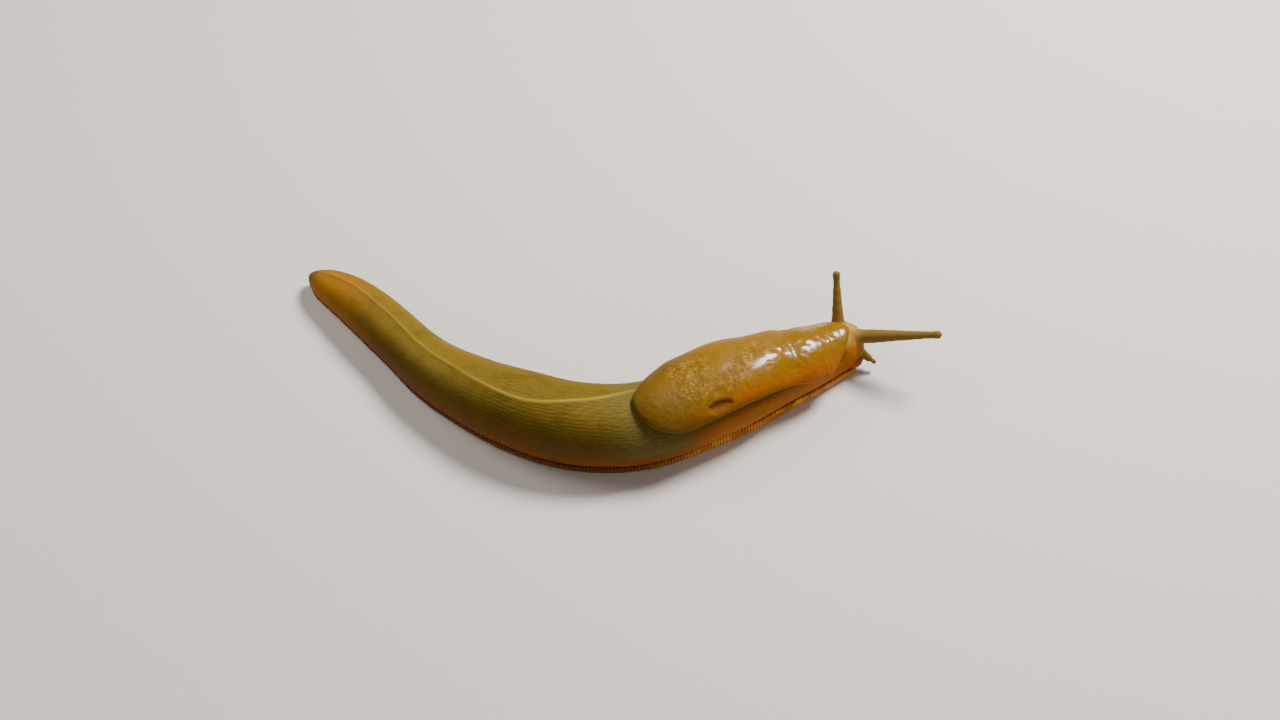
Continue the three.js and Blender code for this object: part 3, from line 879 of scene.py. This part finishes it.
def fringe_line():
    """A line down each side of the foot, through the middles of its ribs."""
    curve = bpy.data.curves.new("fringe_line", "CURVE")
    curve.dimensions = "3D"
    s = np.linspace(FRINGE_FROM, FRINGE_TO, 200)
    out = from_table(HALF_WIDTH, s) * from_table(FRINGE_SHARES, s) * foot_share(s) - FRINGE_INSET
    level = groove_level(s) * (0.6 + 0.3 * smoothstep(s, 92, 112))
    for hand in (-1, 1):
        spline = curve.splines.new("POLY")
        spline.points.add(len(s) - 1)
        path = place(s, hand * out, level) * MM
        spline.points.foreach_set("co", np.concatenate([path, np.ones((len(s), 1))], 1).ravel())
        spline.points.foreach_set("radius", level / RIB_CLEARANCE / RIB_HEIGHT)
    return in_scene("fringe_line", curve)


# %% [markdown]
# ## Colours and finish
# Shader sums are easier to read as sums, so a small class wraps a socket and lets Python's own signs add
# the Math nodes. Any other node comes from one method that takes its type, its settings and its inputs.


# %% A hand for shader nodes
class Wire:
    """One output of a shader tree that can be added, multiplied and compared."""

    def __init__(self, shop, socket):
        self.shop = shop
        self.socket = socket

    def maths(self, operation, first, second):
        return self.shop.node("ShaderNodeMath", {"operation": operation}, {0: first, 1: second})

    def __add__(self, other):
        return self.maths("ADD", self, other)

    def __sub__(self, other):
        return self.maths("SUBTRACT", self, other)

    def __rsub__(self, other):
        return self.maths("SUBTRACT", other, self)

    def __mul__(self, other):
        return self.maths("MULTIPLY", self, other)

    def between(self, low, high):
        """0 below low, 1 above high and smooth on the way."""
        values = {"Value": self, "From Min": low, "From Max": high}
        return self.shop.node("ShaderNodeMapRange", {"interpolation_type": "SMOOTHSTEP"}, values)

    __radd__ = __add__
    __rmul__ = __mul__


# %% A shop for one material
class Shop:
    """Where one material's nodes are made."""

    def __init__(self, name):
        self.material = bpy.data.materials.new(name)
        self.material.use_nodes = True
        self.tree = self.material.node_tree
        self.shader = self.tree.nodes["Principled BSDF"]

    def node(self, kind, settings=None, inputs=None, output=0):
        node = self.tree.nodes.new(kind)
        for name, value in (settings or {}).items():
            setattr(node, name, value)
        for name, value in (inputs or {}).items():
            self.set(node.inputs[name], value)
        return Wire(self, node.outputs[output])

    def set(self, socket, value):
        if isinstance(value, Wire):
            self.tree.links.new(value.socket, socket)
        elif isinstance(value, tuple) and socket.type == "RGBA" and len(value) == 3:
            socket.default_value = (*value, 1)
        else:
            socket.default_value = value

    def finish(self, inputs):
        """Gives the shader itself its values and links, and hands over the material."""
        for name, value in inputs.items():
            self.set(self.shader.inputs[name], value)
        return self.material

    def mark(self, name):
        return self.node("ShaderNodeAttribute", {"attribute_name": name}, output="Fac")

    def where(self):
        return self.node("ShaderNodeTexCoord", output="Object")

    def mix(self, share, first, second, blend="MIX"):
        settings = {"data_type": "RGBA", "blend_type": blend}
        return self.node("ShaderNodeMix", settings, {0: share, 6: first, 7: second}, 2)

    def noise(self, scale, detail, roughness=0.5):
        inputs = {"Scale": scale, "Detail": detail, "Roughness": roughness, "Vector": self.where()}
        return self.node("ShaderNodeTexNoise", {}, inputs)


def paint(red, green, blue):
    """A colour as a screen shows it, turned into the light that a shader works with."""
    to_light = lambda v: v / 12.92 if v <= 0.04045 else ((v + 0.055) / 1.055) ** 2.4
    return tuple(to_light(v / 255) for v in (red, green, blue))


# %% [markdown]
# ## Slug skin
# The back is olive with a pale keel and a few soft blotches, yellower on the inside of the bend and
# browner towards the foot. Its top and left side are lighter, partly as painted light, and the keel is
# partly a painted highlight. Painted shade darkens the grooves between the fine lines, the crease behind
# the mantle, the mouth, the breathing pore, the feelers' undersides and the foot's edge towards the tail.
# The tail is amber. The mantle is gold on top and orange at its side, as is the strip of flank above the
# foot there, and the tan on the crests of its grains is painted sheen. The top of the hood carries a wet
# film and the rest of the mantle a trace of it, so the coat lies there, and fine bumps break its highlights
# into sparks.

# %% Slug skin
OLIVE = paint(82, 64, 1)
OLIVE_TOP_PARTLY_LIT = paint(114, 92, 20)
OLIVE_YELLOW_PARTLY_LIT = paint(115, 91, 12)
KEEL_PALE_AND_HIGHLIGHT = paint(160, 134, 48)
FLANK_BROWN = paint(90, 58, 1)
UMBER = paint(114, 60, 0)
TAIL_AMBER = paint(152, 100, 2)
TAIL_ORANGE = paint(148, 90, 4)
TAIL_BROWN = paint(104, 72, 4)
TIP_GREY = paint(60, 48, 14)
MANTLE_GOLD = paint(124, 88, 3)
MANTLE_ORANGE = paint(150, 80, 2)
MANTLE_BROWN = paint(84, 61, 1)
MANTLE_TAN_SHEEN = paint(178, 138, 60)
HEAD_PALE = paint(168, 126, 48)
HEAD_ORANGE = paint(140, 82, 6)
LIP_RED = paint(138, 72, 14)
STRIP_ORANGE = paint(152, 86, 2)
FEELER_HORN = paint(112, 88, 34)
FEELER_CORE_AND_SHADE = paint(78, 50, 6)
CREASE_SHADE_GREEN = paint(96, 92, 42)
MOTTLE_BROWN = paint(90, 66, 12)
GROOVE_SHADE_DARK = paint(60, 44, 4)
MOUTH_SHADE_DARK = paint(62, 24, 3)
BLOTCH_GREEN = paint(62, 54, 4)
PORE_SHADE_BROWN = paint(98, 50, 2)
# the fringe's tan is brightened as painted light, and its brown towards the tail is painted shade
FRINGE_TAN_PARTLY_LIT = paint(200, 140, 58)
FRINGE_ORANGE = paint(160, 94, 14)
FRINGE_SHADE_BROWN = paint(98, 52, 4)


def ragged(value, cloud, amount):
    """A value shifted here and there by a cloud of noise, for borders that aren't straight."""
    return value + (cloud - 0.5) * amount


# %% Colours of the back and the head
def back_colour(shop, along, angle, down, crown, keel, cloud):
    """Olive back, lighter on top and on the left partly as painted light, a pale keel that is partly a
    painted highlight, painted shade in the grooves, the crease and the rear foot edge, brown flanks and an
    amber tail.
    """
    # the top and the left side are lighter: partly the olive's own tone, partly painted light from above
    # and behind
    near_top = 1 - ragged(down, cloud, 30).between(10.0, 48.0)
    colour = shop.mix(near_top, OLIVE, OLIVE_TOP_PARTLY_LIT)
    colour = shop.mix(angle.between(6.0, 30.0), colour, OLIVE_YELLOW_PARTLY_LIT)
    brown = ragged(down, cloud, 50).between(44.0, 82.0) * (1 - angle.between(0.0, 20.0))
    colour = shop.mix(brown, colour, FLANK_BROWN)
    colour = shop.mix(ragged(down, cloud, 60).between(78.0, 126.0), colour, UMBER)
    tail = 1 - ragged(along, cloud, 22).between(5.0, 30.0)
    amber = shop.mix(ragged(down, cloud, 50).between(30.0, 80.0), TAIL_AMBER, TAIL_ORANGE)
    amber = shop.mix(angle.between(8.0, 40.0) * 0.6, amber, TAIL_BROWN)
    colour = shop.mix(tail * 0.9, colour, amber)
    tip = 1 - ragged(along, cloud, 6).between(0.8, 6.0)
    colour = shop.mix(tip * 0.85, colour, TIP_GREY)
    # the pale keel is partly its own paler tone and partly a painted highlight along its ridge
    strong = along.between(6.0, 26.0) * 0.35 + along.between(48.0, 62.0) * 0.4
    colour = shop.mix(keel * strong, colour, KEEL_PALE_AND_HIGHLIGHT)
    blotch = shop.noise(210.0, 3.0, roughness=0.6).between(0.5, 0.68)
    colour = shop.mix(blotch * (1 - tail) * (1 - keel) * 0.3, colour, BLOTCH_GREEN)
    # painted shade, greyish green, in the crease behind the mantle
    behind = along.between(80.0, 89.0) * (1 - along.between(94.0, 102.0))
    colour = shop.mix(behind * (1 - down.between(76.0, 100.0)) * 0.6, colour, CREASE_SHADE_GREEN)
    colour = shop.mix(along.between(93.0, 106.0) * down.between(50.0, 76.0) * 0.9, colour, STRIP_ORANGE)
    # painted shade in the grooves between the fine lines
    colour = shop.mix((1 - crown) * 0.42, colour, GROOVE_SHADE_DARK)
    # the foot's edge is darker towards the tail: painted shade under the overhanging flank
    edge = shop.mix(along.between(88.0, 106.0), FRINGE_SHADE_BROWN, FRINGE_ORANGE)
    return shop.mix(down.between(176.0, 184.0), colour, edge)


def head_colour(shop, along, down):
    """Pale crown, orange cheeks and red-orange lips."""
    pale = (1 - down.between(10.0, 56.0)) * (1 - along.between(141.0, 143.6))
    cheek = shop.mix(pale, HEAD_ORANGE, HEAD_PALE)
    return shop.mix(down.between(70.0, 115.0), cheek, LIP_RED)


# %% Colours of the mantle and of the whole skin
def mantle_colour(shop, along, angle, down, crown, coarse, rim, shade, cloud):
    """Gold top with tan painted sheen on the grains' crests and painted shade between them, orange side,
    brown rear and painted shade in the hollow of the pore.
    """
    side = ragged(down, cloud, 40).between(20.0, 54.0) * (1 - angle.between(8.0, 26.0) * 0.7)
    colour = shop.mix(side, MANTLE_GOLD, MANTLE_ORANGE)
    rear = 1 - (ragged(along, cloud, 14) - down * 0.16).between(86.0, 106.0)
    colour = shop.mix(rear * 0.85, colour, MANTLE_BROWN)
    colour = shop.mix(rim * (1 - along.between(112.0, 126.0) * 0.6) * 0.5, colour, MANTLE_BROWN)
    # tan on the crests of the grains is painted sheen and brown between them is painted shade, scattered by
    # noise
    crest_sheen_specks = (crown - 0.5) * 0.7 + shop.noise(1900.0, 2.0, roughness=0.7)
    colour = shop.mix(crest_sheen_specks.between(0.5, 0.72) * coarse * 0.6, colour, MANTLE_TAN_SHEEN)
    colour = shop.mix((1 - crest_sheen_specks.between(0.34, 0.5)) * coarse * 0.5, colour, MANTLE_BROWN)
    # painted shade in the hollow of the breathing pore
    return shop.mix(shade * shade * 0.85, colour, PORE_SHADE_BROWN)


def skin_colour(shop):
    """Colour of the whole skin, with where the mantle is and where the skin is wet."""
    along, angle, crown, keel, mantle, coarse, rim, feeler, shade = [shop.mark(name) for name in MARKS]
    down = shop.mark("down")
    cloud = shop.noise(140.0, 4.0)
    mottle = shop.noise(520.0, 3.0)
    colour = back_colour(shop, along, angle, down, crown, keel, cloud)
    colour = shop.mix(along.between(135.0, 138.5), colour, head_colour(shop, along, down))
    # painted shade in the line of the mouth
    colour = shop.mix(shop.mark("mouth") * 0.8, colour, MOUTH_SHADE_DARK)
    hood = mantle_colour(shop, along, angle, down, crown, coarse, rim, shade, cloud)
    colour = shop.mix(mantle, colour, hood)
    # the feelers' undersides are darker: painted shade, with the dark core seen through the skin
    stalk = shop.mix(shade.between(0.45, 0.95) * 0.8, FEELER_HORN, FEELER_CORE_AND_SHADE)
    colour = shop.mix(feeler.between(0.02, 0.2), colour, stalk)
    colour = shop.mix((mottle - 0.5) * 0.5, colour, MOTTLE_BROWN, "SOFT_LIGHT")
    # a wet film lies on the top of the hood, not on the coarse patches, the sides or the rim
    film = (along - angle * 0.3).between(116.5, 121.0) * (1 - down.between(26.0, 56.0))
    wet = mantle * (0.12 + film * 0.88) * (1 - rim) * (1 - coarse * 0.8)
    return colour, mantle, wet


# %% Finish of the skin
def skin_material():
    shop = Shop("slug_skin")
    colour, mantle, wet = skin_colour(shop)
    grain = shop.noise(1500.0, 3.0)
    pebble = shop.node(
        "ShaderNodeTexVoronoi",
        {"feature": "SMOOTH_F1"},
        {"Scale": 1300.0, "Smoothness": 0.6, "Vector": shop.where()},
    )
    lumps = shop.noise(800.0, 2.0)
    height = grain * 0.5 + pebble * 0.5 + lumps * mantle * 3.2
    bump = shop.node("ShaderNodeBump", {}, {"Strength": 0.45, "Distance": 0.00012, "Height": height})
    return shop.finish({
        "Base Color": colour,
        "Normal": bump,
        "Roughness": ragged(0.6 - wet * 0.34, shop.noise(420.0, 2.0), 0.16),
        "Coat Weight": wet * 0.7,
        "Coat Roughness": 0.12,
        "Coat IOR": 1.38,
        "Subsurface Weight": 0.12,
        "Subsurface Scale": 0.0007,
        "Subsurface Radius": (1.0, 0.45, 0.12),
        "IOR": 1.4,
        "Specular IOR Level": 0.17,
    })


slug_skin = skin_material()
skin.data.materials.clear()
skin.data.materials.append(slug_skin)
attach(skin, "root")
FLESH = [name for name in frame["nodes"] if not name.startswith("eye")]
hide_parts(*FLESH)
print("skin stands for", len(FLESH), "nodes")


# %% Tree of the ribs
def fringe_tree(material):
    """Geometry Nodes that set a rib on every step of a line."""
    tree = bpy.data.node_groups.new("ribs_along_a_line", "GeometryNodeTree")

    def node(kind, settings=None, inputs=None):
        made = tree.nodes.new(kind)
        for name, value in (settings or {}).items():
            setattr(made, name, value)
        for name, value in (inputs or {}).items():
            if isinstance(value, bpy.types.NodeSocket):
                tree.links.new(value, made.inputs[name])
            else:
                made.inputs[name].default_value = value
        return made.outputs[0]

    face = tree.interface
    face.new_socket("Line", in_out="INPUT", socket_type="NodeSocketGeometry")
    sizes = {"Pitch": RIB_PITCH, "Width": RIB_WIDTH, "Reach": RIB_REACH, "Height": RIB_HEIGHT}
    for name, value in sizes.items():
        socket = face.new_socket(name, in_out="INPUT", socket_type="NodeSocketFloat")
        socket.default_value = value * MM
    seed = face.new_socket("Seed", in_out="INPUT", socket_type="NodeSocketInt")
    seed.default_value = RIB_SEED
    face.new_socket("Ribs", in_out="OUTPUT", socket_type="NodeSocketGeometry")
    given = tree.nodes.new("NodeGroupInput").outputs
    steps = {"Curve": given["Line"], "Length": given["Pitch"]}
    line = node("GeometryNodeResampleCurve", {"mode": "LENGTH"}, steps)
    bead = node("GeometryNodeMeshIcoSphere", {}, {"Radius": 1.0, "Subdivisions": 3})
    size = {"X": given["Width"], "Y": given["Reach"], "Z": given["Height"]}
    size = node("ShaderNodeCombineXYZ", {}, size)
    rib = node("GeometryNodeTransform", {}, {"Geometry": bead, "Scale": size})
    tangent = node("GeometryNodeInputTangent")
    sideways = {"axis": "X", "pivot_axis": "Z"}
    turn = node("FunctionNodeAlignRotationToVector", sideways, {"Vector": tangent})
    span = {"Min": RIB_SMALLEST, "Max": RIB_LARGEST, "Seed": given["Seed"]}
    vary = node("FunctionNodeRandomValue", {"data_type": "FLOAT_VECTOR"}, span)
    tall = {"X": 1.0, "Y": 1.0, "Z": node("GeometryNodeInputRadius")}
    tall = node("ShaderNodeCombineXYZ", {}, tall)
    scale = node("ShaderNodeVectorMath", {"operation": "MULTIPLY"}, {0: vary, 1: tall})
    stand = {"Points": line, "Instance": rib, "Rotation": turn, "Scale": scale}
    ribs = node("GeometryNodeInstanceOnPoints", {}, stand)
    real = node("GeometryNodeRealizeInstances", {}, {"Geometry": ribs})
    smooth = node("GeometryNodeSetShadeSmooth", {}, {"Geometry": real})
    coloured = node("GeometryNodeSetMaterial", {}, {"Geometry": smooth, "Material": material})
    tree.links.new(coloured, tree.nodes.new("NodeGroupOutput").inputs["Ribs"])
    return tree


# %% Finish of the fringe
def fringe_material():
    shop = Shop("fringe_skin")
    patch = shop.noise(260.0, 3.0)
    # the ribs are tan beside the mantle, brightened there as painted light, and brown towards the tail as
    # painted shade under the overhanging flank; X is how far forward a rib stands
    forward = shop.node("ShaderNodeSeparateXYZ", {}, {0: shop.where()})
    light = ragged(forward, patch, 0.012).between(0.006, 0.03)
    beside = shop.mix(patch.between(0.35, 0.65), FRINGE_TAN_PARTLY_LIT, FRINGE_ORANGE)
    colour = shop.mix(light, FRINGE_SHADE_BROWN, beside)
    return shop.finish({
        "Base Color": colour,
        "Roughness": ragged(0.34, patch, 0.2),
        "Subsurface Weight": 0.2,
        "Subsurface Scale": 0.0006,
        "Specular IOR Level": 0.3,
    })


# %% Fringe ribs
def fringe_ribs():
    """The ribs as one plain mesh, with the tree's modifier gone."""
    line = fringe_line()
    material = fringe_material()
    modifier = line.modifiers.new("ribs", "NODES")
    modifier.node_group = fringe_tree(material)
    graph = bpy.context.evaluated_depsgraph_get()
    mesh = bpy.data.meshes.new_from_object(line.evaluated_get(graph))
    line.modifiers.clear()
    bpy.data.objects.remove(line)
    mesh.name = "foot_fringe"
    mesh.materials.clear()
    mesh.materials.append(material)
    mesh.polygons.foreach_set("material_index", [0] * len(mesh.polygons))
    return in_scene("foot_fringe", mesh)


ribs = fringe_ribs()
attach(ribs, "root")
print("fringe:", len(ribs.data.polygons), "faces")

# %% [markdown]
# ## Eyes
# Each eye is a dark bead under the clear skin at the end of an upper feeler. The bead is a fine sphere in
# place of the coarse solid, glossy and nearly black, mottled with brown.

# %% Eyes
EYE_BLACK = paint(18, 12, 8)
EYE_BROWN = paint(52, 34, 16)
EYE_RADIUS = 0.5
EYE_SUNK = 0.75


def eye_material():
    shop = Shop("eye_bead")
    mottle = shop.noise(900.0, 2.0)
    return shop.finish({
        "Base Color": shop.mix(mottle, EYE_BLACK, EYE_BROWN),
        "Roughness": 0.1 + mottle * 0.08,
    })


bead_skin = eye_material()
for hand in ("right", "left"):
    _, base, axis, length = feelers[f"optic_tentacle_{hand}"]
    centre = base + axis * (length - EYE_RADIUS * EYE_SUNK)
    top = np.array([0, 0, EYE_RADIUS])
    eye = tube(f"eye_{hand}_bead", centre + EYE_RADIUS * ball(32, 18), centre - top, centre + top)
    eye.data.polygons.foreach_set("use_smooth", [True] * len(eye.data.polygons))
    eye.data.materials.append(bead_skin)
    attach(eye, "root")
    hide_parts(f"eye_{hand}")

# %% [markdown]
# ## Floor and light
# The slug lies on a wide pale floor. A large soft light stands overhead and a little behind, so that its
# mirror image lands along the top of the mantle as wet highlights, and two dimmer ones fill the flanks.

# %% Floor
FLOOR_HALF = 3000
FLOOR_LEVEL = -0.02
FLOOR_PALE = paint(216, 208, 200)

corners = [(x * FLOOR_HALF, y * FLOOR_HALF, FLOOR_LEVEL) for x, y in ((-1, -1), (1, -1), (1, 1), (-1, 1))]
floor = make_mesh("floor", corners, [(0, 1, 2, 3)])
floor.data.materials.append(Shop("floor").finish({"Base Color": FLOOR_PALE, "Roughness": 0.8}))


# %% Lights
def soft_light(name, place_mm, size_mm, power, colour):
    lamp = bpy.data.lights.new(name, "AREA")
    lamp.shape = "DISK"
    lamp.size = size_mm * MM
    lamp.energy = power
    lamp.color = colour
    light = in_scene(name, lamp)
    light.location = Vector(place_mm) * MM
    light.rotation_euler = (Vector(CAMERA_TARGET) * MM - light.location).to_track_quat("-Z", "Y").to_euler()
    return light


soft_light("sky_opening", (253, 262, 418), 180, 6.0, (1.0, 0.98, 0.95))
soft_light("from_left", (-420, 200, 420), 320, 1.7, (1.0, 0.97, 0.93))
soft_light("from_front", (160, -520, 240), 420, 1.0, (1.0, 0.9, 0.78))
world = bpy.data.worlds.new("studio")
bpy.context.scene.world = world
world.use_nodes = True
world.node_tree.nodes["Background"].inputs["Color"].default_value = (0.9, 0.93, 1.0, 1)
world.node_tree.nodes["Background"].inputs["Strength"].default_value = 0.13
